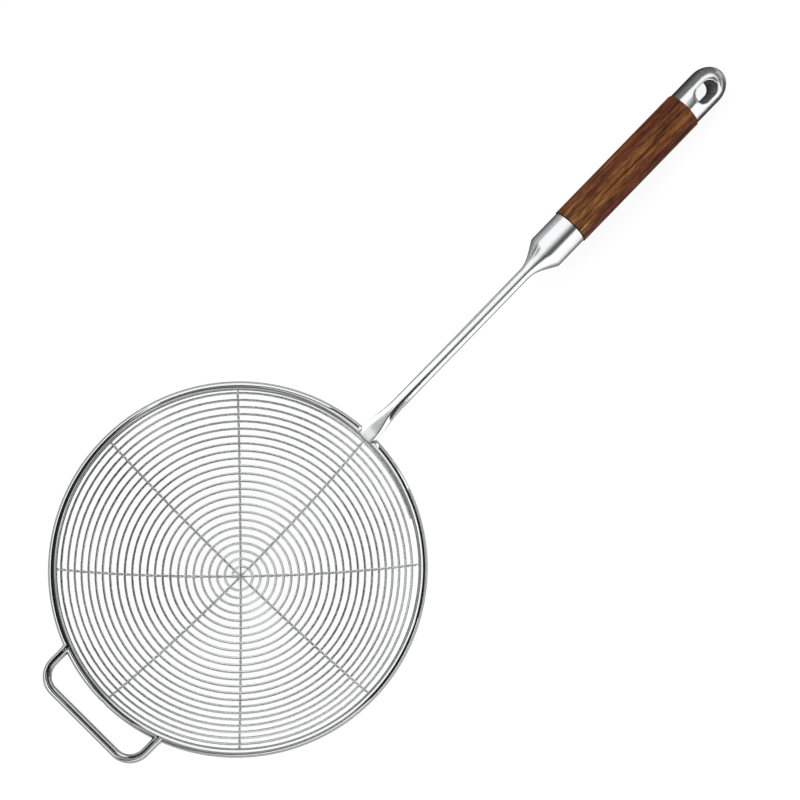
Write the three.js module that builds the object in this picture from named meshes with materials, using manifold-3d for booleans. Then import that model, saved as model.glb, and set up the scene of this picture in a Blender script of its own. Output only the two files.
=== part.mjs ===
// A mesh skimmer: a shallow dish of spiral wire bound by twisted pairs of thin wire, inside a
// rod rim with a helper loop, on a steel shaft with a wooden grip and a cap with a hanging eye.
// Millimetres, +Z up. It lies as on a table: the dish and the end cap touch z = 0, the open
// side of the dish faces up and the handle points along +X.
import * as THREE from 'three';
import { mergeVertices } from 'three/addons/utils/BufferGeometryUtils.js';
import Module from 'manifold-3d';

// Rim and dish. The dish is part of a sphere that passes through the axis of the rim rod.
const rimDiameter = 240;
const rimRodDiameter = 5.8;
const dishDepth = 47;

// The spiral wire runs from its inner end, clockwise and outwards, to its end at the rim.
const meshWireDiameter = 1.6;
const firstTurnRadius = 5.4;
const fullTurns = 23;
const innerEndAzimuth = 120;
const outerEndAzimuth = -30;

// Each pair of binding wires crosses the whole dish and twists half a turn at every turn of
// the spiral. Where the pairs cross at the centre they lie on each other in this order.
const bindingWireDiameter = 0.8;
const pairAzimuths = [-45, 0, 90, 45];
const centreRun = 2.4;

// Helper loop, welded to the rim opposite the handle.
const loopRodDiameter = 5.6;
const loopSpan = 81;
const loopReach = 19;
const loopCorner = 13;

// Shaft: a tube whose end is pressed flat into a tongue that lies on the rim.
const handleRise = 5;
const shaftDiameter = 8;
const shaftWall = 1;
const shaftLength = 146;
const tongueWidth = 12.4;
const tongueThickness = 2.4;
const tongueBite = 0.8;
const flareLength = 25;

// Ferrule, grip and cap along the handle. The cone is solid over its web, and the pulls are shares
// of its length that shape its curve out of the neck and into the shoulder.
const ferruleDiameter = 24.6;
const ferruleWall = 1.2;
const coneLength = 20;
const coneWeb = 4;
const neckPull = 0.42;
const shoulderPull = 0.8;
const ferruleLength = 23;
const spigotLength = 8;
const plugLength = 5;
const gripDiameter = 26;
const gripLength = 107;
const gripEdge = 1.2;
const capDiameter = 24.6;
const capLength = 36;
const domeLength = 15;
const capTenonDiameter = 17;
const capTenonLength = 4;
const tieRodDiameter = 6;
const tieRodChamfer = 0.8;
const capThread = 3;

// Hanging eye through the cap. The cap is screwed home, so its eye stops turned about the grip.
const eyeLength = 16;
const eyeWidth = 11;
const eyeEdge = 4;
const eyeCentre = 17;
const eyeRoll = 20;

// Clearance between pieces that touch, and how far the lowest wires are worn flat by the table.
const fitGap = 0.3;
const restFlat = 0.2;

// Facets
const spiralSteps = 24;
const spiralSides = 6;
const bindingSides = 4;
const rimSteps = 72;
const rodSides = 8;
const cornerSteps = 6;
const shaftSides = 16;
const flareSteps = 7;
const latheSteps = 28;
const curveSteps = 8;
const eyeSides = 20;
const eyeEdgeSteps = 4;

const wasm = await Module();
wasm.setup();

const radians = THREE.MathUtils.degToRad;
const up = new THREE.Vector3(0, 0, 1);

const steel = new THREE.MeshStandardMaterial({ color: 0xd4d6d8, roughness: 0.12, metalness: 1 });
const wire = new THREE.MeshStandardMaterial({ color: 0xc9cbcd, roughness: 0.2, metalness: 1 });
const plainSteel = new THREE.MeshStandardMaterial({ color: 0xa9abad, roughness: 0.4, metalness: 1 });
const wood = new THREE.MeshStandardMaterial({ color: 0x6a3f24, roughness: 0.5, metalness: 0 });

// Corner and flat radii of a regular polygon with the area of a round rod.
function cornerRadius(diameter, sides) {
  const share = (2 * Math.PI) / sides;
  return (diameter / 2) * Math.sqrt(share / Math.sin(share));
}

function flatRadius(diameter, sides) {
  return cornerRadius(diameter, sides) * Math.cos(Math.PI / sides);
}

// Dish sphere, with lengths measured along it from its lowest point.
const rimRadius = (rimDiameter - rimRodDiameter) / 2;
const dishRadius = (rimRadius ** 2 + dishDepth ** 2) / (2 * dishDepth);
const dishCentre = new THREE.Vector3(0, 0, dishRadius - dishDepth);
const rimArc = dishRadius * Math.acos(dishCentre.z / dishRadius);
const rimCorner = cornerRadius(rimRodDiameter, rodSides);

function arcOfChord(chord) {
  return 2 * dishRadius * Math.asin(chord / (2 * dishRadius));
}

// A point at an arc from the lowest point, lifted off the dish to its inner side and moved sideways.
function onDish(arc, azimuth, lift = 0, side = 0) {
  const angle = arc / dishRadius;
  const reach = (dishRadius - lift) * Math.sin(angle);
  const x = reach * Math.cos(azimuth) - side * Math.sin(azimuth);
  const y = reach * Math.sin(azimuth) + side * Math.cos(azimuth);
  return new THREE.Vector3(x, y, dishCentre.z - (dishRadius - lift) * Math.cos(angle));
}

function inwards(point) {
  return dishCentre.clone().sub(point).normalize();
}

// A closed skin over rings of points that turn right-handed about the way from first to last.
function skin(rings) {
  const sides = rings[0].length;
  const last = (rings.length - 1) * sides;
  const index = [];
  for (let ring = 0; ring + 1 < rings.length; ring++) {
    for (let side = 0; side < sides; side++) {
      const a = ring * sides + side;
      const b = ring * sides + ((side + 1) % sides);
      index.push(a, b, b + sides, a, b + sides, a + sides);
    }
  }
  for (let side = 1; side + 1 < sides; side++) {
    index.push(0, side + 1, side);
    index.push(last, last + side, last + side + 1);
  }
  const geometry = new THREE.BufferGeometry().setFromPoints(rings.flat());
  geometry.setIndex(index);
  return geometry;
}

// A rod along points. One of its flats faces the direction that facing gives at each point.
function rod(points, diameter, sides, facing) {
  const radius = cornerRadius(diameter, sides);
  const rings = points.map((point, i) => {
    const before = points[Math.max(i - 1, 0)];
    const after = points[Math.min(i + 1, points.length - 1)];
    const way = point.clone().sub(before).normalize();
    way.add(after.clone().sub(point).normalize()).normalize();
    const face = facing(point);
    face.addScaledVector(way, -face.dot(way)).normalize();
    const across = face.clone().cross(way);
    return Array.from({ length: sides }, (_, side) => {
      const turn = ((side + 0.5) / sides) * 2 * Math.PI + Math.PI / 2;
      return point.clone()
        .addScaledVector(across, radius * Math.cos(turn))
        .addScaledVector(face, radius * Math.sin(turn));
    });
  });
  return skin(rings);
}

function solidOf(geometry) {
  const bare = geometry.clone();
  bare.deleteAttribute('normal');
  bare.deleteAttribute('uv');
  const merged = mergeVertices(bare);
  const vertProperties = new Float32Array(merged.attributes.position.array);
  const triVerts = new Uint32Array(merged.index.array);
  return new wasm.Manifold(new wasm.Mesh({ numProp: 3, vertProperties, triVerts }));
}

function cut(geometry, tool) {
  const mesh = solidOf(geometry).subtract(solidOf(tool)).getMesh();
  const result = new THREE.BufferGeometry();
  result.setAttribute('position', new THREE.BufferAttribute(new Float32Array(mesh.vertProperties), 3));
  result.setIndex(new THREE.BufferAttribute(new Uint32Array(mesh.triVerts), 1));
  return result;
}

function piece(name, geometry, material) {
  const mesh = new THREE.Mesh(geometry, material);
  mesh.name = name;
  return mesh;
}

// Rim rod, bent to a ring. The same ring with a clearance copes what is welded to it.
function rimGeometry(clearance) {
  return new THREE.TorusGeometry(rimRadius, rimCorner + clearance, rodSides, rimSteps);
}

// Spiral wire
const wireCorner = cornerRadius(meshWireDiameter, spiralSides);
const spiralSweep = radians(360 * fullTurns + innerEndAzimuth - outerEndAzimuth);
const spiralEndArc = rimArc - arcOfChord(rimCorner + wireCorner + fitGap);
const pitch = (spiralEndArc - firstTurnRadius) / (spiralSweep / (2 * Math.PI));

function spiralArc(sweep) {
  return firstTurnRadius + (pitch * sweep) / (2 * Math.PI);
}

function spiralPoints() {
  const steps = Math.round((spiralSweep / (2 * Math.PI)) * spiralSteps);
  return Array.from({ length: steps + 1 }, (_, step) => {
    const sweep = (spiralSweep * step) / steps;
    return onDish(spiralArc(sweep), radians(innerEndAzimuth) - sweep);
  });
}

function leastTurnGap(points) {
  let least = Infinity;
  for (let i = 0; i < points.length; i++) {
    for (let j = i + spiralSteps / 2; j < points.length; j++) {
      least = Math.min(least, points[i].distanceTo(points[j]));
    }
  }
  return least - 2 * wireCorner;
}

// Arcs at which the spiral crosses an azimuth, from the innermost turn outwards.
function crossings(azimuth) {
  const fullTurn = 2 * Math.PI;
  const first = THREE.MathUtils.euclideanModulo(radians(innerEndAzimuth) - azimuth, fullTurn);
  const arcs = [];
  for (let sweep = first; sweep <= spiralSweep; sweep += fullTurn) {
    arcs.push(spiralArc(sweep));
  }
  return arcs;
}

// Binding wires
const bindingFlat = flatRadius(bindingWireDiameter, bindingSides);
const bindingCorner = cornerRadius(bindingWireDiameter, bindingSides);
const bindingLift = flatRadius(meshWireDiameter, spiralSides) + bindingFlat + fitGap;
const bindingSide = bindingFlat + fitGap / 2;
const pairStep = 2 * bindingFlat + fitGap;
const bindingReach = rimCorner + bindingCorner + fitGap;
const flatEndArc = rimArc - Math.sqrt(bindingReach ** 2 - bindingLift ** 2);
const freeEndArc = rimArc - arcOfChord(bindingReach);

// One wire of a pair, rim to rim. It runs flat over or under each turn, slants to its other
// side between turns, and lies level beside its partner across the centre.
function bindingPoints(azimuth, centreLift, partner) {
  const along = crossings(azimuth);
  const behind = crossings(azimuth + Math.PI).map((arc) => -arc).reverse();
  const arcs = [...behind, ...along];
  const quarter = pitch / 4;
  const points = [];
  const add = (arc, lift, side) => points.push(onDish(arc, azimuth, lift * partner, side * partner));
  const even = (i) => (i % 2 === 0 ? 1 : -1);
  if (arcs[0] - quarter > -freeEndArc + fitGap) {
    add(-freeEndArc, 0, -bindingSide);
  }
  arcs.forEach((arc, i) => {
    const lift = even(i) * bindingLift;
    const side = even(i) * bindingSide;
    add(Math.max(arc - quarter, -flatEndArc), lift, -side);
    add(Math.min(arc + quarter, flatEndArc), lift, side);
    if (i === behind.length - 1) {
      points.push(onDish(-centreRun, azimuth, centreLift, side * partner));
      points.push(onDish(centreRun, azimuth, centreLift, side * partner));
    }
  });
  const last = arcs.length - 1;
  if (arcs[last] + quarter < freeEndArc - fitGap) {
    add(freeEndArc, 0, even(last) * bindingSide);
  }
  return points;
}

// Helper loop: two legs that stand on the rim, rounded corners and a straight bar.
function loopPoints() {
  const bar = -(rimDiameter / 2 + loopReach - loopRodDiameter / 2);
  const half = loopSpan / 2;
  const foot = -Math.sqrt(rimRadius ** 2 - half ** 2);
  const corner = new THREE.Vector2(bar + loopCorner, half - loopCorner);
  const points = [new THREE.Vector3(foot, half, 0)];
  for (let step = 0; step <= cornerSteps; step++) {
    const turn = ((1 + step / cornerSteps) * Math.PI) / 2;
    const x = corner.x + loopCorner * Math.cos(turn);
    points.push(new THREE.Vector3(x, corner.y + loopCorner * Math.sin(turn), 0));
  }
  const mirrored = points.map((point) => new THREE.Vector3(point.x, -point.y, 0)).reverse();
  return [...points, ...mirrored];
}

// Handle pieces lie along +X from a point above the axis of the rim rod.
const tongueLift = rimRodDiameter / 2 + tongueThickness / 2 - tongueBite;
const ferruleStart = shaftLength + fitGap;
const ferruleShoulder = ferruleStart + coneLength;
const ferruleEnd = ferruleShoulder + ferruleLength;
const gripStart = ferruleEnd + fitGap;
const gripEnd = gripStart + gripLength;
const capStart = gripEnd + fitGap;
const capEnd = capStart + capLength;
const plugStart = ferruleShoulder + fitGap;
const plugEnd = plugStart + plugLength;
const tieRodEnd = capStart + capTenonLength + capThread;
const rodBore = tieRodDiameter / 2 + fitGap;

// A solid of revolution about +X from points given as [radius, place along the handle].
function turned(profile) {
  const points = profile.map(([radius, place]) => new THREE.Vector2(radius, place));
  return new THREE.LatheGeometry(points, latheSteps).rotateZ(-Math.PI / 2);
}

// Flattened tube section: two half rounds with a straight between them.
function tubeSection(place, straight, round) {
  return Array.from({ length: shaftSides }, (_, side) => {
    const turn = ((side + 0.5) / shaftSides) * 2 * Math.PI;
    const across = Math.sign(Math.cos(turn)) * straight + round * Math.cos(turn);
    return new THREE.Vector3(place, across, round * Math.sin(turn));
  });
}

function shaftGeometry() {
  const tongueRound = tongueThickness / 2;
  const tongueStraight = tongueWidth / 2 - tongueRound;
  const tubeRound = cornerRadius(shaftDiameter, shaftSides);
  const boreRound = tubeRound - shaftWall;
  const tip = -rimRodDiameter / 2;
  const flareStart = rimRodDiameter / 2;
  const outside = [
    tubeSection(tip, tongueStraight - tongueRound, tongueRound),
    tubeSection(tip + tongueRound, tongueStraight, tongueRound),
  ];
  const inside = [];
  for (let step = 0; step <= flareSteps; step++) {
    const share = step / flareSteps;
    const swell = THREE.MathUtils.smoothstep(share, 0, 1);
    const round = THREE.MathUtils.lerp(tongueRound, tubeRound, swell);
    const straight = tongueStraight * (1 - swell);
    const place = flareStart + flareLength * share;
    outside.push(tubeSection(place, straight, round));
    if (round - shaftWall > tongueRound) {
      inside.unshift(tubeSection(place, straight, round - shaftWall));
    }
  }
  outside.push(tubeSection(shaftLength, 0, tubeRound));
  inside.unshift(tubeSection(shaftLength, 0, boreRound));
  return skin([...outside, ...inside]);
}

function ferruleGeometry() {
  const neck = shaftDiameter / 2;
  const outer = ferruleDiameter / 2;
  const spigot = neck - shaftWall - fitGap;
  const cone = new THREE.CubicBezierCurve(
    new THREE.Vector2(neck, ferruleStart),
    new THREE.Vector2(neck, ferruleStart + coneLength * neckPull),
    new THREE.Vector2(outer - ferruleWall, ferruleStart + coneLength * shoulderPull),
    new THREE.Vector2(outer, ferruleShoulder),
  ).getPoints(curveSteps).map((point) => [point.x, point.y]);
  const hollow = cone.filter(([, place]) => place > ferruleStart + coneWeb);
  const lining = hollow.map(([radius, place]) => [radius - ferruleWall, place]).reverse();
  const deepest = lining[lining.length - 1];
  return turned([
    [0, ferruleStart - spigotLength],
    [spigot, ferruleStart - spigotLength],
    [spigot, ferruleStart],
    ...cone,
    [outer, ferruleEnd],
    [outer - ferruleWall, ferruleEnd],
    ...lining,
    [0, deepest[1]],
  ]);
}

function plugGeometry() {
  const outer = ferruleDiameter / 2 - ferruleWall - fitGap;
  return turned([
    [rodBore, plugStart],
    [outer, plugStart],
    [outer, plugEnd],
    [rodBore, plugEnd],
    [rodBore, plugStart],
  ]);
}

function gripGeometry() {
  const outer = gripDiameter / 2;
  const frontTenon = ferruleDiameter / 2 - ferruleWall - fitGap;
  const frontEnd = plugEnd + fitGap;
  const backTenon = capTenonDiameter / 2;
  const backEnd = gripEnd + capTenonLength;
  const bevel = gripEdge * (1 - Math.SQRT1_2);
  return turned([
    [rodBore, frontEnd],
    [frontTenon, frontEnd],
    [frontTenon, gripStart],
    [outer - gripEdge, gripStart],
    [outer - bevel, gripStart + bevel],
    [outer, gripStart + gripEdge],
    [outer, gripEnd - gripEdge],
    [outer - bevel, gripEnd - bevel],
    [outer - gripEdge, gripEnd],
    [backTenon, gripEnd],
    [backTenon, backEnd],
    [rodBore, backEnd],
    [rodBore, frontEnd],
  ]);
}

function tieRodGeometry() {
  const radius = tieRodDiameter / 2;
  return turned([
    [0, plugStart],
    [radius - tieRodChamfer, plugStart],
    [radius, plugStart + tieRodChamfer],
    [radius, tieRodEnd - tieRodChamfer],
    [radius - tieRodChamfer, tieRodEnd],
    [0, tieRodEnd],
  ]);
}

// Hanging eye: an oval hole whose edges are rounded out to the surface of the cap.
function eyeTool() {
  const outer = capDiameter / 2;
  const half = eyeWidth / 2;
  const straight = (eyeLength - eyeWidth) / 2;
  const oval = (height, growth) => Array.from({ length: eyeSides }, (_, side) => {
    const turn = ((side + 0.5) / eyeSides) * 2 * Math.PI;
    const along = Math.sign(Math.cos(turn)) * straight + (half + growth) * Math.cos(turn);
    return new THREE.Vector3(along, (half + growth) * Math.sin(turn), height);
  });
  const upper = [];
  for (let step = 0; step <= eyeEdgeSteps; step++) {
    const turn = ((step / eyeEdgeSteps) * Math.PI) / 2;
    const height = outer - eyeEdge * (1 - Math.sin(turn));
    upper.push([height, eyeEdge * (1 - Math.cos(turn))]);
  }
  upper.push([outer + eyeEdge, eyeEdge]);
  const lower = upper.map(([height, growth]) => [-height, growth]).reverse();
  const tool = skin([...lower, ...upper].map(([height, growth]) => oval(height, growth)));
  return tool.rotateX(radians(eyeRoll)).translate(capStart + eyeCentre, 0, 0);
}

function capGeometry() {
  const outer = capDiameter / 2;
  const domeStart = capEnd - domeLength;
  const socket = capTenonDiameter / 2 + fitGap;
  const socketEnd = capStart + capTenonLength;
  const threadEnd = tieRodEnd + fitGap;
  const dome = [];
  for (let step = 0; step <= curveSteps; step++) {
    const turn = ((step / curveSteps) * Math.PI) / 2;
    const radius = step === curveSteps ? 0 : outer * Math.cos(turn);
    dome.push([radius, domeStart + domeLength * Math.sin(turn)]);
  }
  const body = turned([
    [0, threadEnd],
    [rodBore, threadEnd],
    [rodBore, socketEnd],
    [socket, socketEnd],
    [socket, capStart],
    [outer, capStart],
    ...dome,
  ]);
  return cut(body, eyeTool());
}

// The tilt at which the dish and the underside of the cap stand on one level.
const rise = radians(handleRise);
const capFoot = capEnd - domeLength;
const foot = new THREE.Vector2(
  rimRadius + capFoot * Math.cos(rise) + (capDiameter / 2) * Math.sin(rise),
  tongueLift + capFoot * Math.sin(rise) - (capDiameter / 2) * Math.cos(rise),
);
const restRadius = dishRadius + bindingLift + bindingFlat - restFlat;
const drop = dishCentre.z - foot.y;
const restTilt = Math.asin(restRadius / Math.hypot(drop, foot.x)) - Math.atan2(drop, foot.x);

// Table under the dish, in the frame of the rim.
function tableTool() {
  const side = dishRadius / 2;
  return new THREE.BoxGeometry(side, side, side)
    .translate(0, 0, -restRadius - side / 2)
    .rotateY(-restTilt)
    .translate(dishCentre.x, dishCentre.y, dishCentre.z);
}

const bowl = new THREE.Group();
bowl.add(piece('rim_ring', rimGeometry(0), steel));

const spiral = spiralPoints();
console.log(`least gap between turns of the spiral wire: ${leastTurnGap(spiral).toFixed(2)} mm`);
bowl.add(piece('spiral_wire', rod(spiral, meshWireDiameter, spiralSides, inwards), wire));

const table = tableTool();
pairAzimuths.forEach((azimuth, i) => {
  const centreLift = (i - (pairAzimuths.length - 1) / 2) * pairStep;
  for (const [letter, partner] of [['a', 1], ['b', -1]]) {
    const points = bindingPoints(radians(azimuth), centreLift, partner);
    const whole = rod(points, bindingWireDiameter, bindingSides, inwards);
    bowl.add(piece(`binding_wire_${i + 1}${letter}`, cut(whole, table), wire));
  }
});

const loop = rod(loopPoints(), loopRodDiameter, rodSides, () => up.clone());
bowl.add(piece('helper_loop', cut(loop, rimGeometry(fitGap)), steel));

const handle = new THREE.Group();
handle.position.set(rimRadius, 0, tongueLift);
handle.rotation.y = -rise;
handle.updateMatrix();
const rimInHandle = rimGeometry(fitGap).applyMatrix4(handle.matrix.clone().invert());
handle.add(piece('shaft', cut(shaftGeometry(), rimInHandle), steel));
handle.add(piece('ferrule', ferruleGeometry(), steel));
handle.add(piece('ferrule_plug', plugGeometry(), plainSteel));
handle.add(piece('tie_rod', tieRodGeometry(), plainSteel));
handle.add(piece('grip', gripGeometry(), wood));
handle.add(piece('end_cap', capGeometry(), steel));

const skimmer = new THREE.Group();
skimmer.add(bowl, handle);
skimmer.rotation.y = restTilt;
const extent = new THREE.Box3().setFromObject(skimmer);
const middle = extent.getCenter(new THREE.Vector3());
skimmer.position.set(-middle.x, -middle.y, restRadius - dishCentre.z * Math.cos(restTilt));

export default skimmer;
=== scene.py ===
from math import acos, atan2, copysign, cos, degrees, hypot, pi, radians, sin, sqrt

import bpy
from mathutils import Matrix, Vector


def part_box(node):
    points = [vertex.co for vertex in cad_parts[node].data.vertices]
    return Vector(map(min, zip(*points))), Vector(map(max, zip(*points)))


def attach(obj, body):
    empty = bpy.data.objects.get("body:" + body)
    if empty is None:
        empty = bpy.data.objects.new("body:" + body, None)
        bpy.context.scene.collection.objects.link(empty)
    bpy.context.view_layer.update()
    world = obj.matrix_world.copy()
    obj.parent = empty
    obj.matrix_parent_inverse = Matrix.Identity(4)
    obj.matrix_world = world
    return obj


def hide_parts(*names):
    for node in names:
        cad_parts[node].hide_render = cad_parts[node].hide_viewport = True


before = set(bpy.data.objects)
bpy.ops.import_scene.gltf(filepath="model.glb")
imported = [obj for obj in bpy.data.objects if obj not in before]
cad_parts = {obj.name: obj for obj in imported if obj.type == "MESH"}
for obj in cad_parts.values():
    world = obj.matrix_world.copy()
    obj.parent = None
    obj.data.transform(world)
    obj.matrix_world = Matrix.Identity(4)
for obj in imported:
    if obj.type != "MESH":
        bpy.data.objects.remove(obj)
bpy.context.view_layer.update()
print("frame loaded,", len(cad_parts), "nodes")

# the skimmer is in millimetres and degrees, and the placing matrices bring it to metres
perMetre = 1000
mergeReach = {"wire": 0.001, "turned": 0.002}
dish = {"rimDiameter": 240, "rimRod": 5.8, "depth": 47, "restTilt": 9.0794}
handle = {"rise": 5, "tongueLift": 3.3, "fitGap": 0.3}

rimRadius = (dish["rimDiameter"] - dish["rimRod"]) / 2
dishRadius = (rimRadius ** 2 + dish["depth"] ** 2) / (2 * dish["depth"])
dishCentre = dishRadius - dish["depth"]  # height of the dish sphere's centre over the rim
rimArc = dishRadius * acos(dishCentre / dishRadius)

rimLow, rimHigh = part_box("rim_ring")
rimMiddle = (Vector(rimLow) + Vector(rimHigh)) / 2
bowlPlace = Matrix.Translation(rimMiddle)
bowlPlace = bowlPlace @ Matrix.Rotation(radians(dish["restTilt"]), 4, "Y") @ Matrix.Scale(1 / perMetre, 4)
handlePlace = bowlPlace @ Matrix.Translation((rimRadius, 0, handle["tongueLift"]))
handlePlace = handlePlace @ Matrix.Rotation(-radians(handle["rise"]), 4, "Y")
handleTurn = dish["restTilt"] - handle["rise"]


def onDish(arc, azimuth, lift=0, side=0):
    angle = arc / dishRadius
    reach = (dishRadius - lift) * sin(angle)
    x = reach * cos(azimuth) - side * sin(azimuth)
    y = reach * sin(azimuth) + side * cos(azimuth)
    return Vector((x, y, dishCentre - (dishRadius - lift) * cos(angle)))


def startAlone():
    if bpy.context.object and bpy.context.object.mode != "OBJECT":
        bpy.ops.object.mode_set(mode="OBJECT")
    bpy.ops.object.select_all(action="DESELECT")


def pick(piece):
    startAlone()
    piece.select_set(True)
    bpy.context.view_layer.objects.active = piece


def applyModifier(piece, kind, **settings):
    pick(piece)
    modifier = piece.modifiers.new(kind.lower(), kind)
    for key, value in settings.items():
        setattr(modifier, key, value)
    bpy.ops.object.modifier_apply(modifier=modifier.name)


def finishPiece(piece, place, material, nodes, smoothAngle=35):
    piece.matrix_world = place
    pick(piece)
    bpy.ops.object.transform_apply(location=True, rotation=True, scale=True)
    bpy.ops.object.mode_set(mode="EDIT")
    bpy.ops.mesh.select_all(action="SELECT")
    bpy.ops.mesh.normals_make_consistent(inside=False)
    bpy.ops.object.mode_set(mode="OBJECT")
    bpy.ops.object.shade_smooth_by_angle(angle=radians(smoothAngle))
    piece.data.materials.clear()
    piece.data.materials.append(material)
    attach(piece, "root")
    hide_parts(*nodes)


# a round wire along points, thicker at a point where swell says so
def wireAlong(name, points, thickness, roundness, swell=None):
    startAlone()
    curve = bpy.data.curves.new(name, "CURVE")
    curve.dimensions = "3D"
    spline = curve.splines.new("POLY")
    spline.points.add(len(points) - 1)
    for i, point in enumerate(points):
        spline.points[i].co = (*point, 1)
        spline.points[i].radius = swell[i] if swell else 1
    curve.bevel_depth = thickness / 2
    curve.bevel_resolution = roundness
    curve.use_fill_caps = True
    wire = bpy.data.objects.new(name, curve)
    bpy.context.collection.objects.link(wire)
    pick(wire)
    bpy.ops.object.convert(target="MESH")
    bpy.ops.object.mode_set(mode="EDIT")
    bpy.ops.mesh.select_all(action="SELECT")
    bpy.ops.mesh.remove_doubles(threshold=mergeReach["wire"])
    bpy.ops.object.mode_set(mode="OBJECT")
    return wire


# a turned piece: a ring drawn along +X through stations of (place, radius)
def drawTurned(name, stations, sides, closedRing=False):
    startAlone()
    place, radius = stations[0]
    fill = "NOTHING" if closedRing else "NGON"
    bpy.ops.mesh.primitive_circle_add(
        vertices=sides, radius=radius, fill_type=fill, location=(place, 0, 0), rotation=(0, pi / 2, 0))
    piece = bpy.context.object
    piece.name = name
    bpy.ops.object.transform_apply(location=True, rotation=True, scale=True)
    bpy.ops.object.mode_set(mode="EDIT")
    bpy.ops.mesh.select_all(action="SELECT")
    for nextPlace, nextRadius in stations[1:]:
        bpy.ops.mesh.extrude_region_move(TRANSFORM_OT_translate={"value": (nextPlace - place, 0, 0)})
        ratio = nextRadius / radius
        bpy.ops.transform.resize(value=(1, ratio, ratio), center_override=(nextPlace, 0, 0))
        place, radius = nextPlace, nextRadius
    bpy.ops.mesh.select_all(action="SELECT")
    bpy.ops.mesh.remove_doubles(threshold=mergeReach["turned"])
    bpy.ops.mesh.normals_make_consistent(inside=False)
    bpy.ops.object.mode_set(mode="OBJECT")
    return piece


# a closed skin over rings of points
def skinRings(name, rings):
    startAlone()
    sides = len(rings[0])
    faces = [list(range(sides))[::-1]]
    for ring in range(len(rings) - 1):
        for side in range(sides):
            a = ring * sides + side
            b = ring * sides + (side + 1) % sides
            faces.append([a, b, b + sides, a + sides])
    last = (len(rings) - 1) * sides
    faces.append(list(range(last, last + sides)))
    mesh = bpy.data.meshes.new(name)
    mesh.from_pydata([tuple(point) for ring in rings for point in ring], [], faces)
    piece = bpy.data.objects.new(name, mesh)
    bpy.context.collection.objects.link(piece)
    return piece


def newMaterial(name):
    material = bpy.data.materials.new(name)
    material.use_nodes = True
    nodes = material.node_tree.nodes
    return material, nodes, material.node_tree.links, nodes["Principled BSDF"]


# a pattern with so many repeats to the metre, turned to lie along the handle
def patternCoords(nodes, links, repeats, turn=0):
    coords = nodes.new("ShaderNodeTexCoord")
    mapping = nodes.new("ShaderNodeMapping")
    mapping.vector_type = "TEXTURE"
    mapping.inputs["Scale"].default_value = [1 / count for count in repeats]
    mapping.inputs["Rotation"].default_value = (0, radians(turn), 0)
    links.new(coords.outputs["Object"], mapping.inputs["Vector"])
    return mapping.outputs["Vector"]


def noise(nodes, links, vector, detail, roughness=0.5):
    texture = nodes.new("ShaderNodeTexNoise")
    texture.inputs["Scale"].default_value = 1
    texture.inputs["Detail"].default_value = detail
    texture.inputs["Roughness"].default_value = roughness
    links.new(vector, texture.inputs["Vector"])
    return texture.outputs["Fac"]


def spread(nodes, links, value, low, high, fromLow=0.3, fromHigh=0.7):
    ramp = nodes.new("ShaderNodeMapRange")
    ramp.inputs["From Min"].default_value = fromLow
    ramp.inputs["From Max"].default_value = fromHigh
    ramp.inputs["To Min"].default_value = low
    ramp.inputs["To Max"].default_value = high
    links.new(value, ramp.inputs["Value"])
    return ramp.outputs["Result"]


def maths(nodes, links, operation, first, second):
    step = nodes.new("ShaderNodeMath")
    step.operation = operation
    for socket, value in zip(step.inputs, (first, second)):
        if isinstance(value, (int, float)):
            socket.default_value = value
        else:
            links.new(value, socket)
    return step.outputs["Value"]


def colours(nodes, links, value, stops):
    ramp = nodes.new("ShaderNodeValToRGB")
    while len(ramp.color_ramp.elements) < len(stops):
        ramp.color_ramp.elements.new(0.5)
    for element, (place, colour) in zip(ramp.color_ramp.elements, stops):
        element.position = place
        element.color = (*colour, 1)
    links.new(value, ramp.inputs["Fac"])
    return ramp.outputs["Color"]


def bump(nodes, links, value, shader, strength, depth):
    relief = nodes.new("ShaderNodeBump")
    relief.inputs["Strength"].default_value = strength
    relief.inputs["Distance"].default_value = depth
    links.new(value, relief.inputs["Height"])
    links.new(relief.outputs["Normal"], shader.inputs["Normal"])


# polished steel, with faint polishing lines along the handle and painted shade at its outline from a dark
# edge tint
polish = {"detail": 4, "grit": 0.6, "edge": 0.1, "relief": 0.015, "reliefDepth": 0.00005}


def polishedSteel(name, lines, roughness, colour):
    material, nodes, links, shader = newMaterial(name)
    edge = polish["edge"]
    shader.inputs["Metallic"].default_value = 1
    shader.inputs["Base Color"].default_value = (*colour, 1)
    # painted shade: the dark edge tint dims the steel's reflection towards its outline
    shader.inputs["Specular Tint"].default_value = (edge, edge, edge, 1)  # dims towards its outline
    coords = patternCoords(nodes, links, lines, handleTurn)
    streak = noise(nodes, links, coords, polish["detail"], polish["grit"])
    links.new(spread(nodes, links, streak, *roughness), shader.inputs["Roughness"])
    bump(nodes, links, streak, shader, polish["relief"], polish["reliefDepth"])
    return material


# drawn wire, a little duller in places
drawn = {"patches": (420, 420, 420), "detail": 3, "stops": (0.3, 0.7), "roughness": (0.22, 0.34)}


def drawnWire(name, dark, light):
    material, nodes, links, shader = newMaterial(name)
    shader.inputs["Metallic"].default_value = 1
    patch = noise(nodes, links, patternCoords(nodes, links, drawn["patches"]), drawn["detail"])
    tone = colours(nodes, links, patch, list(zip(drawn["stops"], (dark, light))))
    links.new(tone, shader.inputs["Base Color"])
    links.new(spread(nodes, links, patch, *drawn["roughness"]), shader.inputs["Roughness"])
    return material


# the eye's wall: unpolished steel with painted shade, darker the deeper it lies in the hole
raw = {
    "patches": (300, 300, 300), "detail": 3, "roughness": (0.3, 0.4), "patchShare": 0.2,
    "low": 0.004, "high": 0.021,  # heights over the floor in metres
    "shadeTones": ((0.15, (0.021, 0.0215, 0.022)), (0.9, (0.265, 0.268, 0.272))),
}


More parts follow.
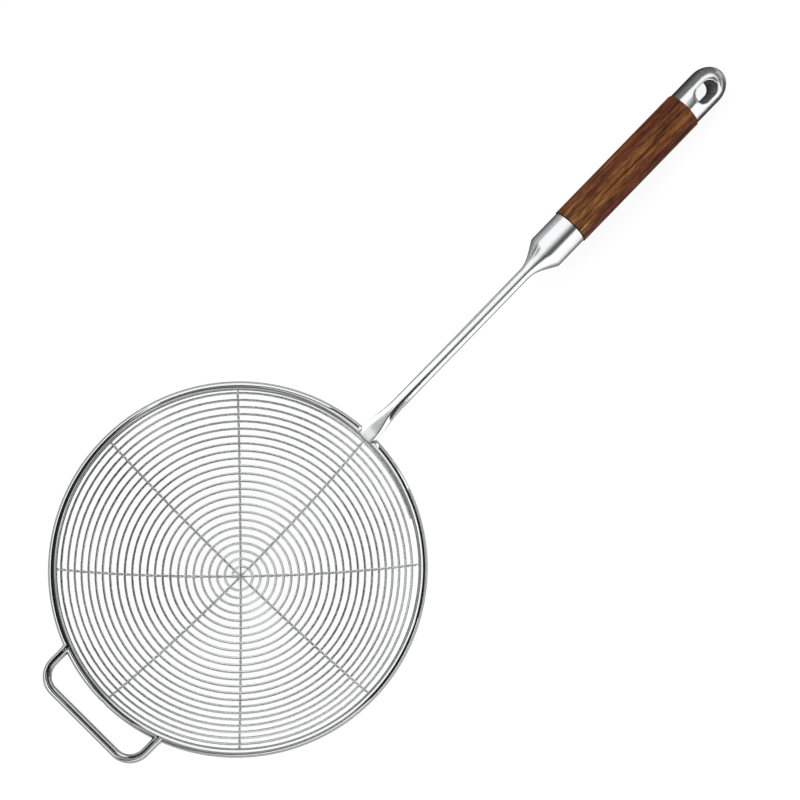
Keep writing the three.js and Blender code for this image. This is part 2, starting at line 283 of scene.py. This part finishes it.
def shadedEyeWall(name):
    material, nodes, links, shader = newMaterial(name)
    shader.inputs["Metallic"].default_value = 1
    patch = noise(nodes, links, patternCoords(nodes, links, raw["patches"]), raw["detail"])
    split = nodes.new("ShaderNodeSeparateXYZ")
    links.new(nodes.new("ShaderNodeTexCoord").outputs["Object"], split.inputs[0])
    share = raw["patchShare"]
    # painted shade: the wall's colour darkens towards the bottom of the eye; the noise patches are the
    # steel's own uneven tone
    height = spread(nodes, links, split.outputs["Z"], 0, 1 - share, raw["low"], raw["high"])
    level = maths(nodes, links, "ADD", height, spread(nodes, links, patch, 0, share))
    links.new(colours(nodes, links, level, raw["shadeTones"]), shader.inputs["Base Color"])
    links.new(spread(nodes, links, patch, *raw["roughness"]), shader.inputs["Roughness"])
    return material


# dark hardwood: long streaks, fine pores and a satin coat
wood = {
    "bands": (8, 80, 80), "streaks": (36, 640, 640), "pores": (150, 1100, 1100),  # repeats to the metre
    "bandDetail": (3, 0.55), "streakDetail": (3, 0.6), "poreDetail": (2, 0.5),
    "waver": 0.5, "tintShare": 0.95, "roughness": (0.62, 0.42), "gloss": 0.1,
    "relief": 0.25, "reliefDepth": 0.0002,
    "bandColours": (
        (0.35, (0.062, 0.0155, 0.0066)),
        (0.46, (0.113, 0.0355, 0.0112)),
        (0.57, (0.184, 0.077, 0.0225)),
        (0.69, (0.275, 0.148, 0.066)),
    ),
    "streakTints": (
        (0.34, (0.30, 0.26, 0.30)),
        (0.48, (0.90, 0.87, 0.87)),
        (0.64, (1.32, 1.34, 1.4)),
    ),
    "poreTints": (
        (0.36, (0.5, 0.47, 0.46)),
        (0.5, (1, 1, 1)),
        (0.66, (1.18, 1.2, 1.2)),
    ),
}


def gripWood(name):
    material, nodes, links, shader = newMaterial(name)
    bandCoords = patternCoords(nodes, links, wood["bands"], handleTurn)
    streakCoords = patternCoords(nodes, links, wood["streaks"], handleTurn)
    poreCoords = patternCoords(nodes, links, wood["pores"], handleTurn)
    band = noise(nodes, links, bandCoords, *wood["bandDetail"])
    band.node.inputs["Distortion"].default_value = wood["waver"]
    streak = noise(nodes, links, streakCoords, *wood["streakDetail"])
    pore = noise(nodes, links, poreCoords, *wood["poreDetail"])
    shown = colours(nodes, links, band, wood["bandColours"])
    for pattern, tints in ((streak, wood["streakTints"]), (pore, wood["poreTints"])):
        mix = nodes.new("ShaderNodeMix")
        mix.data_type = "RGBA"
        mix.blend_type = "MULTIPLY"
        mix.inputs["Factor"].default_value = wood["tintShare"]
        links.new(shown, mix.inputs["A"])
        links.new(colours(nodes, links, pattern, tints), mix.inputs["B"])
        shown = mix.outputs["Result"]
    links.new(shown, shader.inputs["Base Color"])
    links.new(spread(nodes, links, pore, *wood["roughness"]), shader.inputs["Roughness"])
    shader.inputs["Specular IOR Level"].default_value = wood["gloss"]
    bump(nodes, links, pore, shader, wood["relief"], wood["reliefDepth"])
    return material


rimSteel = polishedSteel("rimSteel", (260, 260, 260), (0.05, 0.10), (0.60, 0.605, 0.61))
handleSteel = polishedSteel("handleSteel", (14, 900, 900), (0.15, 0.24), (0.60, 0.605, 0.61))
meshSteel = drawnWire("meshSteel", (0.525, 0.53, 0.535), (0.695, 0.70, 0.705))
bindingSteel = drawnWire("bindingSteel", (0.586, 0.592, 0.597), (0.767, 0.773, 0.778))
turnedSteel = polishedSteel("turnedSteel", (500, 500, 500), (0.3, 0.45), (0.60, 0.61, 0.62))
shadedEyeSteel = shadedEyeWall("shadedEyeSteel")
darkWood = gripWood("darkWood")
print("finishes made")

# rim: a bent rod whose ends meet in a butt weld opposite the handle
rimPiece = {"along": 360, "round": 28, "weldReach": 0.9, "weldFrom": 1.4, "weldDip": 0.3}
startAlone()
bpy.ops.mesh.primitive_torus_add(
    major_segments=rimPiece["along"], minor_segments=rimPiece["round"],
    major_radius=rimRadius, minor_radius=dish["rimRod"] / 2)
rim = bpy.context.object
rim.name = "rimRod"
bpy.ops.object.mode_set(mode="EDIT")
bpy.ops.mesh.select_all(action="DESELECT")
bpy.ops.object.mode_set(mode="OBJECT")
for vertex in rim.data.vertices:
    outward = vertex.co.xy.length > rimRadius + rimPiece["weldFrom"]
    vertex.select = outward and vertex.co.x < 0 and abs(vertex.co.y) < rimPiece["weldReach"]
bpy.ops.object.mode_set(mode="EDIT")
bpy.ops.transform.shrink_fatten(value=-rimPiece["weldDip"])
finishPiece(rim, bowlPlace, rimSteel, ["rim_ring"])
print("rim made")

# spiral wire, from its inner end outwards and clockwise
spiral = {
    "wire": 1.6, "roundness": 3, "firstTurn": 5.4, "turns": 23, "innerEnd": 120, "outerEnd": -30,
    "rimGap": 4.24, "steps": 84,
}
spiralSweep = radians(360 * spiral["turns"] + spiral["innerEnd"] - spiral["outerEnd"])
spiralEnd = rimArc - spiral["rimGap"]
pitch = (spiralEnd - spiral["firstTurn"]) / (spiralSweep / (2 * pi))
stepCount = round(spiralSweep / (2 * pi) * spiral["steps"])
spiralPoints = []
for step in range(stepCount + 1):
    sweep = spiralSweep * step / stepCount
    arc = spiral["firstTurn"] + pitch * sweep / (2 * pi)
    spiralPoints.append(onDish(arc, radians(spiral["innerEnd"]) - sweep))
coil = wireAlong("spiralWire", spiralPoints, spiral["wire"], spiral["roundness"])
finishPiece(coil, bowlPlace, meshSteel, ["spiral_wire"])
print("spiral made")

# binding wires: pairs that twist half a turn at every turn of the spiral
binding = {
    "wire": 0.8, "roundness": 2, "azimuths": (-45, 0, 90, 45), "lift": 1.23, "side": 0.44,
    "rimGap": 3.1, "steps": 10, "leastSteps": 2,
}


def crossings(azimuth):
    sweep = (radians(spiral["innerEnd"]) - azimuth) % (2 * pi)
    arcs = []
    while sweep <= spiralSweep:
        arcs.append(spiral["firstTurn"] + pitch * sweep / (2 * pi))
        sweep += 2 * pi
    return arcs


def bindingPoints(azimuth, centreLift, partner):
    behind = [-arc for arc in crossings(azimuth + pi)][::-1]
    arcs = behind + crossings(azimuth)
    end = rimArc - binding["rimGap"]
    middle = len(behind) - 1  # the run between the last turn behind and the first along
    knots = [(-end, (-end - arcs[0]) / pitch)]
    knots += [(arc, i) for i, arc in enumerate(arcs)]
    knots += [(end, len(arcs) - 1 + (end - arcs[-1]) / pitch)]
    points = []
    for (arcA, turnA), (arcB, turnB) in zip(knots, knots[1:]):
        count = max(binding["leastSteps"], round(binding["steps"] * abs(arcB - arcA) / pitch))
        for step in range(count):
            share = step / count
            arc = arcA + (arcB - arcA) * share
            turn = turnA + (turnB - turnA) * share
            lift = binding["lift"] * cos(pi * turn) * partner
            side = binding["side"] * sin(pi * turn) * partner
            if middle < turn < middle + 1:
                lift += centreLift * sin(pi * (turn - middle)) ** 2
            points.append(onDish(arc, azimuth, lift, side))
    return points


middlePair = (len(binding["azimuths"]) - 1) / 2
for i, azimuth in enumerate(binding["azimuths"]):
    centreLift = (i - middlePair) * binding["wire"]  # the pairs lie on each other in the centre
    for letter, partner in (("a", 1), ("b", -1)):
        name = f"bindingWire{i + 1}{letter}"
        points = bindingPoints(radians(azimuth), centreLift, partner)
        wire = wireAlong(name, points, binding["wire"], binding["roundness"])
        finishPiece(wire, bowlPlace, bindingSteel, [f"binding_wire_{i + 1}{letter}"])
print("binding wires made")

# helper loop, its feet swollen into the welds on the rim
loop = {
    "rod": 5.6, "roundness": 6, "span": 81, "reach": 19, "corner": 13, "cornerSteps": 18, "foot": 0.4,
    "weldRun": 5.2,
    "weldSizes": ((0, 1.16), (0.42, 1.16), (0.56, 1.08), (0.75, 1.03), (1, 1)),  # share of the run, size
}
barPlace = -(dish["rimDiameter"] / 2 + loop["reach"] - loop["rod"] / 2)
loopHalf = loop["span"] / 2
footPlace = -sqrt((rimRadius + loop["foot"]) ** 2 - loopHalf ** 2)
leg = []
for run, size in loop["weldSizes"]:
    leg.append((Vector((footPlace - run * loop["weldRun"], loopHalf, 0)), size))
for step in range(loop["cornerSteps"] + 1):
    turn = (1 + step / loop["cornerSteps"]) * pi / 2
    x = barPlace + loop["corner"] + loop["corner"] * cos(turn)
    y = loopHalf - loop["corner"] + loop["corner"] * sin(turn)
    leg.append((Vector((x, y, 0)), 1))
otherLeg = [(Vector((point.x, -point.y, 0)), size) for point, size in leg][::-1]
loopPoints = [point for point, size in leg + otherLeg]
loopSizes = [size for point, size in leg + otherLeg]
loopRod = wireAlong("helperLoop", loopPoints, loop["rod"], loop["roundness"], loopSizes)
finishPiece(loopRod, bowlPlace, rimSteel, ["helper_loop"])
print("helper loop made")

# shaft: a tube pressed flat into a tongue over the rim
shaft = {
    "diameter": 8, "length": 146, "tongueWidth": 12.4, "tongue": 2.4, "corner": 2.8, "leastLip": 0.25,
    "square": 3.6, "round": 2,  # powers of the section where it is pressed flat and where it is a tube
    "flare": 25, "plainStations": (60, 100), "sides": 64, "flareSteps": 28, "tipSteps": 8, "smooth": 50,
}


# oval sections, squarer where the tube is pressed flat
def tubeSection(place, halfWidth, halfHeight, power):
    ring = []
    for side in range(shaft["sides"]):
        turn = (side + 0.5) / shaft["sides"] * 2 * pi
        across = copysign(abs(cos(turn)) ** (2 / power), cos(turn))
        upward = copysign(abs(sin(turn)) ** (2 / power), sin(turn))
        ring.append(Vector((place, halfWidth * across, halfHeight * upward)))
    return ring


tongueRound = shaft["tongue"] / 2
tongueHalf = shaft["tongueWidth"] / 2
tubeRound = shaft["diameter"] / 2
tip = -dish["rimRod"] / 2
tipCorner = shaft["corner"]
tubeRings = []
for step in range(shaft["tipSteps"] + 1):  # rounded corners and lip of the tongue
    run = tipCorner * (step / shaft["tipSteps"]) ** 2
    halfWidth = tongueHalf - tipCorner + sqrt(tipCorner ** 2 - (tipCorner - run) ** 2)
    lip = sqrt(tongueRound ** 2 - max(0, tongueRound - run) ** 2)
    tubeRings.append(tubeSection(tip + run, halfWidth, max(lip, shaft["leastLip"]), shaft["square"]))
flareStart = dish["rimRod"] / 2
for step in range(shaft["flareSteps"] + 1):
    share = step / shaft["flareSteps"]
    swell = share * share * (3 - 2 * share)
    halfWidth = tongueHalf + (tubeRound - tongueHalf) * swell
    halfHeight = tongueRound + (tubeRound - tongueRound) * swell
    power = shaft["round"] + (shaft["square"] - shaft["round"]) * (1 - share) ** 2
    tubeRings.append(tubeSection(flareStart + shaft["flare"] * share, halfWidth, halfHeight, power))
for place in (*shaft["plainStations"], shaft["length"]):
    tubeRings.append(tubeSection(place, tubeRound, tubeRound, shaft["round"]))
tube = skinRings("shaftTube", tubeRings)
finishPiece(tube, handlePlace, handleSteel, ["shaft"], shaft["smooth"])
print("shaft made")

# ferrule: a drawn cone and sleeve between the shaft and the grip
ferrule = {
    "diameter": 24.6, "wall": 1.2, "cone": 20, "sleeve": 23, "neckGap": 0.05, "edge": 0.3, "floor": 0.3,
    "neckPull": 0.42, "shoulderPull": 0.8, "coneSteps": 24, "sides": 96, "smooth": 40,
}
poleRadius = 0.02  # a turned piece closes in a ring as small as this
ferruleStart = shaft["length"] + ferrule["neckGap"]
shoulder = shaft["length"] + handle["fitGap"] + ferrule["cone"]
sleeveFloor = shoulder + ferrule["floor"]
sleeveEnd = shoulder + ferrule["sleeve"]
ferruleRound = ferrule["diameter"] / 2
boreRound = ferruleRound - ferrule["wall"]
coneRadii = (tubeRound, tubeRound, boreRound, ferruleRound)  # the four handles of the cone's curve
coneRuns = (0, ferrule["neckPull"], ferrule["shoulderPull"], 1)
sleeveStations = []
for step in range(ferrule["coneSteps"] + 1):
    t = step / ferrule["coneSteps"]
    weights = ((1 - t) ** 3, 3 * t * (1 - t) ** 2, 3 * t * t * (1 - t), t ** 3)
    radius = sum(weight * part for weight, part in zip(weights, coneRadii))
    run = sum(weight * part for weight, part in zip(weights, coneRuns))
    sleeveStations.append((ferruleStart + (shoulder - ferruleStart) * run, radius))
sleeveStations += [
    (sleeveEnd - ferrule["edge"], ferruleRound),
    (sleeveEnd, ferruleRound - ferrule["edge"]),
    (sleeveEnd, boreRound),
    (sleeveFloor, boreRound),
    (sleeveFloor, poleRadius),
]
sleeve = drawTurned("ferruleSleeve", sleeveStations, ferrule["sides"])
finishPiece(sleeve, handlePlace, handleSteel, ["ferrule"], ferrule["smooth"])
print("ferrule made")

# grip: turned wood, a little proud of the steel, with softened ends
grip = {
    "diameter": 26, "length": 107, "edge": 1.2, "recess": 0.02, "bore": 3.3, "sides": 96, "edgeSteps": 6,
    "smooth": 45,
}
gripStart = sleeveEnd + handle["fitGap"]
gripEnd = gripStart + grip["length"]
gripRound = grip["diameter"] / 2
endEdge = []
for step in range(grip["edgeSteps"] + 1):
    turn = step / grip["edgeSteps"] * pi / 2
    endEdge.append((grip["edge"] * (1 - sin(turn)), gripRound - grip["edge"] * (1 - cos(pi / 2 - turn))))
gripStations = [(gripStart + grip["recess"], grip["bore"])]
gripStations += [(gripStart + run, radius) for run, radius in endEdge]
gripStations += [(gripEnd - run, radius) for run, radius in reversed(endEdge)]
gripStations += [(gripEnd - grip["recess"], grip["bore"]), gripStations[0]]
woodGrip = drawTurned("woodGrip", gripStations, grip["sides"], closedRing=True)
finishPiece(woodGrip, handlePlace, darkWood, ["grip"], grip["smooth"])
print("grip made")

# end cap with its hanging eye cut through and rounded out to the surface
cap = {
    "diameter": 24.6, "length": 36, "dome": 15, "edge": 0.3, "bore": 3.4, "sides": 96, "domeSteps": 20,
    "smooth": 40,
}
eye = {
    "length": 16, "width": 11, "edge": 3, "centre": 17, "roll": 20, "sides": 72, "edgeSteps": 14,
    "probe": 0.05, "clear": 0.02,
    "wallReach": 0.5, "wallAlong": 1, "wallFacing": 0.2,  # limits for the faces of its wall
}
capStart = gripEnd + handle["fitGap"]
capEnd = capStart + cap["length"]
capRound = cap["diameter"] / 2
domeStart = capEnd - cap["dome"]
capStations = [
    (capStart, cap["bore"]),
    (capStart, capRound - cap["edge"]),
    (capStart + cap["edge"], capRound),
]
for step in range(cap["domeSteps"]):
    turn = step / cap["domeSteps"] * pi / 2
    capStations.append((domeStart + cap["dome"] * sin(turn), capRound * cos(turn)))
capStations.append((capEnd, poleRadius))
endCap = drawTurned("endCap", capStations, cap["sides"])


def eyeRing(height, growth):
    straight = (eye["length"] - eye["width"]) / 2
    size = eye["width"] / 2 + growth
    ring = []
    for side in range(eye["sides"]):
        turn = (side + 0.5) / eye["sides"] * 2 * pi
        along = (straight if cos(turn) > 0 else -straight) + size * cos(turn)
        ring.append(Vector((along, size * sin(turn), height)))
    return ring


def capHeight(along, across):
    place = capStart + eye["centre"] + along
    beyond = max(0, place - domeStart) / cap["dome"]
    radius = capRound * sqrt(1 - beyond * beyond)
    return sqrt(radius * radius - across * across)


# the eye's edge rolls over from the wall to the cap's own slope
def eyeColumn(side):
    foot = eyeRing(0, 0)[side]
    brink = eyeRing(0, eye["edge"])[side]
    near = eyeRing(0, eye["edge"] - eye["probe"])[side]
    top = capHeight(brink.x, brink.y) + eye["clear"]
    slope = (capHeight(near.x, near.y) - capHeight(brink.x, brink.y)) / eye["probe"]
    crest = top + slope * eye["edge"]
    start = min(crest - eye["edge"], top)
    column = []
    for step in range(eye["edgeSteps"] + 1):
        t = step / eye["edgeSteps"]
        place = foot.lerp(brink, t * t)
        place.z = (1 - t) ** 2 * start + 2 * t * (1 - t) * crest + t * t * top
        column.append(place)
    column.append(Vector((brink.x, brink.y, capRound + eye["edge"])))
    return column


columns = [eyeColumn(side) for side in range(eye["sides"])]
upperRings = [[column[row] for column in columns] for row in range(eye["edgeSteps"] + 2)]
lowerRings = [[Vector((p.x, p.y, -p.z)) for p in ring] for ring in reversed(upperRings)]
eyeCutter = skinRings("eyeCutter", lowerRings + upperRings)
eyePlace = Matrix.Translation((capStart + eye["centre"], 0, 0))
eyePlace = eyePlace @ Matrix.Rotation(radians(eye["roll"]), 4, "X")
eyeCutter.data.transform(eyePlace)
applyModifier(endCap, "BOOLEAN", object=eyeCutter, operation="DIFFERENCE", solver="EXACT")
bpy.data.objects.remove(eyeCutter)
finishPiece(endCap, handlePlace, handleSteel, ["end_cap"], cap["smooth"])
# the eye's wall takes the steel with painted shade
endCap.data.materials.append(shadedEyeSteel)
eyeAxis = (handlePlace @ eyePlace).to_3x3().col[2].normalized()
eyeMiddle = (handlePlace @ eyePlace).translation
for face in endCap.data.polygons:
    offset = face.center - eyeMiddle
    reach = (offset - eyeAxis * offset.dot(eyeAxis)).length * perMetre
    near = reach < eye["length"] / 2 + eye["wallReach"]
    between = abs(offset.x) * perMetre < eye["length"] / 2 + eye["wallAlong"]
    if near and between and abs(face.normal.dot(eyeAxis)) < eye["wallFacing"]:
        face.material_index = 1
print("end cap made")

# the tie rod and the plug lie inside the handle and keep their solids
for node in ("tie_rod", "ferrule_plug"):
    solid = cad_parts[node]
    solid.data.materials.clear()
    solid.data.materials.append(turnedSteel)

# the studio is in metres: a pale floor that is white to the camera and keeps the skimmer's shadow
paleFloor = {
    "size": 30, "cells": 4, "colour": (0.67, 0.67, 0.67), "roughness": 0.9,
    "white": 1.055, "glow": 0.86, "mirrorGlow": 0.06,
}
startAlone()
bpy.ops.mesh.primitive_grid_add(
    x_subdivisions=paleFloor["cells"], y_subdivisions=paleFloor["cells"], size=paleFloor["size"])
floor = bpy.context.object
floor.name = "paleFloor"
floorPaint, paintNodes, paintLinks, paintShader = newMaterial("floorPaint")
paintShader.inputs["Base Color"].default_value = (*paleFloor["colour"], 1)
paintShader.inputs["Roughness"].default_value = paleFloor["roughness"]
paintShader.inputs["Specular IOR Level"].default_value = 0
glowShader = paintNodes.new("ShaderNodeEmission")
glowShader.inputs["Strength"].default_value = paleFloor["white"]
rays = paintNodes.new("ShaderNodeLightPath").outputs
seen = maths(paintNodes, paintLinks, "MAXIMUM", rays["Is Camera Ray"], rays["Is Transmission Ray"])
seen = maths(paintNodes, paintLinks, "MULTIPLY", seen, paleFloor["glow"])
mirrored = maths(paintNodes, paintLinks, "MULTIPLY", rays["Is Glossy Ray"], paleFloor["mirrorGlow"])
blend = paintNodes.new("ShaderNodeMixShader")
paintLinks.new(maths(paintNodes, paintLinks, "MAXIMUM", seen, mirrored), blend.inputs["Fac"])
paintLinks.new(paintShader.outputs["BSDF"], blend.inputs[1])
paintLinks.new(glowShader.outputs["Emission"], blend.inputs[2])
paintLinks.new(blend.outputs["Shader"], paintNodes["Material Output"].inputs["Surface"])
floor.data.materials.append(floorPaint)

# a white dome with two darker gaps, which polished steel shows as dark lines
sky = {
    "dome": 1.58, "horizon": 0.18, "gapLight": 0.115,
    "low": 0.2, "high": 0.42,  # heights between which the horizon brightens to the dome
    "gaps": (  # lean along and across, each limit with its soft width
        (((-85, 9), (62, 9)), ((-45, 5), (-6, 40))),
        (((22, 9), (62, 9)), ((-45, 5), (12, 9))),
    ),
}
world = bpy.data.worlds.new("studio")
bpy.context.scene.world = world
world.use_nodes = True
skyNodes = world.node_tree.nodes
skyLinks = world.node_tree.links
direction = skyNodes.new("ShaderNodeSeparateXYZ")
skyLinks.new(skyNodes.new("ShaderNodeTexCoord").outputs["Generated"], direction.inputs[0])


def softStep(value, low, high, fromLow, fromHigh):
    result = spread(skyNodes, skyLinks, value, low, high, fromLow, fromHigh)
    result.node.interpolation_type = "SMOOTHSTEP"
    return result


inGap = 0.0
for gap in sky["gaps"]:
    inside = 1.0
    for axis, limits in zip("XY", gap):
        lean = maths(skyNodes, skyLinks, "ARCTAN2", direction.outputs[axis], direction.outputs["Z"])
        for (limit, soft), sense in zip(limits, (1, -1)):
            reach = radians(soft) / 2 * sense
            within = softStep(lean, 0, 1, radians(limit) - reach, radians(limit) + reach)
            inside = maths(skyNodes, skyLinks, "MULTIPLY", inside, within)
    inGap = maths(skyNodes, skyLinks, "MAXIMUM", inGap, inside)
dome = softStep(direction.outputs["Z"], sky["horizon"], sky["dome"], sky["low"], sky["high"])
outside = maths(skyNodes, skyLinks, "SUBTRACT", 1.0, inGap)
domeLight = maths(skyNodes, skyLinks, "MULTIPLY", dome, outside)
gapLight = maths(skyNodes, skyLinks, "MULTIPLY", inGap, sky["gapLight"])
skyLight = maths(skyNodes, skyLinks, "ADD", domeLight, gapLight)
toCamera = skyNodes.new("ShaderNodeLightPath").outputs["Is Camera Ray"]
skyLight = maths(skyNodes, skyLinks, "MAXIMUM", skyLight, toCamera)
skyNodes["Background"].inputs["Color"].default_value = (1, 1, 1, 1)
skyLinks.new(skyLight, skyNodes["Background"].inputs["Strength"])

# soft panels for the wood, one overhead and one at each side
lamps = {
    "panels": (  # place, size and power
        ((0.49, 0.62, 1.6), (0.9, 0.6), 5),
        ((0.2, -1.2, 0.26), (0.6, 0.3), 8.5),
        ((0.2, 1.2, 0.26), (0.6, 0.3), 4),
    ),
}
for place, size, power in lamps["panels"]:
    bpy.ops.object.light_add(type="AREA", location=place)
    panel = bpy.context.object
    panel.data.shape = "RECTANGLE"
    panel.data.size, panel.data.size_y = size
    panel.data.energy = power
    panel.rotation_euler = (-Vector(place)).to_track_quat("-Z", "Y").to_euler()
    panel.visible_camera = False
    panel.visible_glossy = False  # the steel shows the dome and the cards alone

# painted reflections: cards, dark or bright, that are seen in the steel alone: arcs over the rim, flags
# beside the handle, some glowing though they are no lamps
cards = {
    "arcSteps": 360,
    "arcs": (  # name, shade, height, inner and outer radius, first and last bearing
        ("farCard", 0.01, 0.2, (0.06, 0.25), (66, 150)),
        ("rimCard", 0.01, 0.2, (0.06, 0.131), (150, 188)),
        ("loopCard", 0.3, 0.2, (0.131, 0.25), (166, 188)),
        ("loopCornerCard", 0.01, 0.2, (0.145, 0.215), (150, 166)),
        ("farEdgeCard", 0.3, 0.1, (0.106, 0.139), (36, 66)),
        ("lowCard", 0.55, 0.2, (0.085, 0.2), (188, 277)),
        ("nearCard", 0.01, 0.2, (0.1, 0.36), (277, 314)),
        ("sideCard", 0.01, 0.1, (0.117, 0.25), (304, 347)),
        ("nearTongueCard", 0.01, 0.07, (0.119, 0.18), (342, 358)),
        ("upCard", 0.01, 0.07, (0.125, 0.18), (5, 16)),
        ("upEdgeCard", 0.2, 0.1, (0.117, 0.145), (16, 36)),
        ("tongueCard", 1, 0.15, (0.094, 0.128), (-13, 16)),
    ),
    "flags": (  # name, shade, glow, start and end along the handle, foot and top as (y, z)
        ("capFlag", 0.18, 0, (0.2, 0.38), (0.017, 0.001), (0.08, 0.076)),
        ("ferruleFlag", 0.6, 0, (0.09, 0.2), (0.017, 0.001), (0.08, 0.055)),
        ("nearFlag", 0.15, 0, (0.175, 0.38), (-0.016, 0.001), (-0.05, 0.001)),
        ("brightFlag", 0.9, 0.72, (0.0, 0.175), (-0.055, 0.001), (-0.05, 0.075)),
        ("capBrightFlag", 0.9, 0.72, (0.245, 0.31), (-0.045, 0.001), (-0.04, 0.075)),
        ("tongueFarFlag", 0.9, 1.1, (-0.038, 0.045), (0.0078, 0.035), (0.0082, 0.054)),
        ("tongueNearFlag", 0.9, 1.1, (-0.038, -0.022), (-0.0078, 0.035), (-0.0082, 0.054)),
    ),
}


def finishCard(card, name, shade, glow=0):
    bpy.ops.object.mode_set(mode="OBJECT")
    bpy.ops.object.transform_apply(location=True, rotation=True, scale=True)
    paint, nodes, links, shader = newMaterial(name + "Paint")
    shader.inputs["Base Color"].default_value = (shade, shade, shade, 1)
    shader.inputs["Roughness"].default_value = 1
    # painted highlight: a bright card glows though it is no lamp
    shader.inputs["Emission Color"].default_value = (1, 1, 1, 1)
    shader.inputs["Emission Strength"].default_value = glow
    card.name = name
    card.data.materials.append(paint)
    # the card is hidden from the camera, from diffuse light and from shadows, so it only paints
    # reflections in the steel
    card.visible_camera = False
    card.visible_diffuse = False
    card.visible_shadow = False


for name, shade, level, (inner, outer), (first, last) in cards["arcs"]:
    startAlone()
    bpy.ops.mesh.primitive_circle_add(
        vertices=cards["arcSteps"], radius=inner, location=(rimMiddle.x, rimMiddle.y, level))
    card = bpy.context.object
    bpy.ops.object.mode_set(mode="EDIT")
    bpy.ops.mesh.select_mode(type="VERT")
    bpy.ops.mesh.select_all(action="SELECT")
    bpy.ops.mesh.extrude_region_move()
    bpy.ops.transform.resize(value=(outer / inner, outer / inner, 1), center_override=card.location)
    bpy.ops.mesh.select_all(action="DESELECT")
    bpy.ops.object.mode_set(mode="OBJECT")
    for face in card.data.polygons:
        bearing = degrees(atan2(face.center.y, face.center.x))
        face.select = (bearing - first) % 360 > last - first
    bpy.ops.object.mode_set(mode="EDIT")
    bpy.ops.mesh.select_mode(type="FACE")
    bpy.ops.mesh.delete(type="FACE")
    finishCard(card, name, shade)

for name, shade, glow, (start, end), (footY, footZ), (topY, topZ) in cards["flags"]:
    startAlone()
    bpy.ops.mesh.primitive_grid_add(
        x_subdivisions=2, y_subdivisions=2, size=1,
        location=((start + end) / 2, (footY + topY) / 2, (footZ + topZ) / 2),
        rotation=(atan2(topZ - footZ, topY - footY), 0, 0))
    flag = bpy.context.object
    flag.scale = (end - start, hypot(topY - footY, topZ - footZ), 1)
    finishCard(flag, name, shade, glow)

cameraSpot = {
    "place": (-0.04065, -0.17734, 1.49909), "turn": (5.694, 4.146, -46.186), "lens": 103.5, "sensor": 36,
}
cameraTurn = [radians(angle) for angle in cameraSpot["turn"]]
bpy.ops.object.camera_add(location=cameraSpot["place"], rotation=cameraTurn)
camera = bpy.context.object
camera.data.sensor_width = cameraSpot["sensor"]
camera.data.lens = cameraSpot["lens"]
bpy.context.scene.camera = camera
bpy.context.scene.view_settings.view_transform = "Standard"
print("studio set")
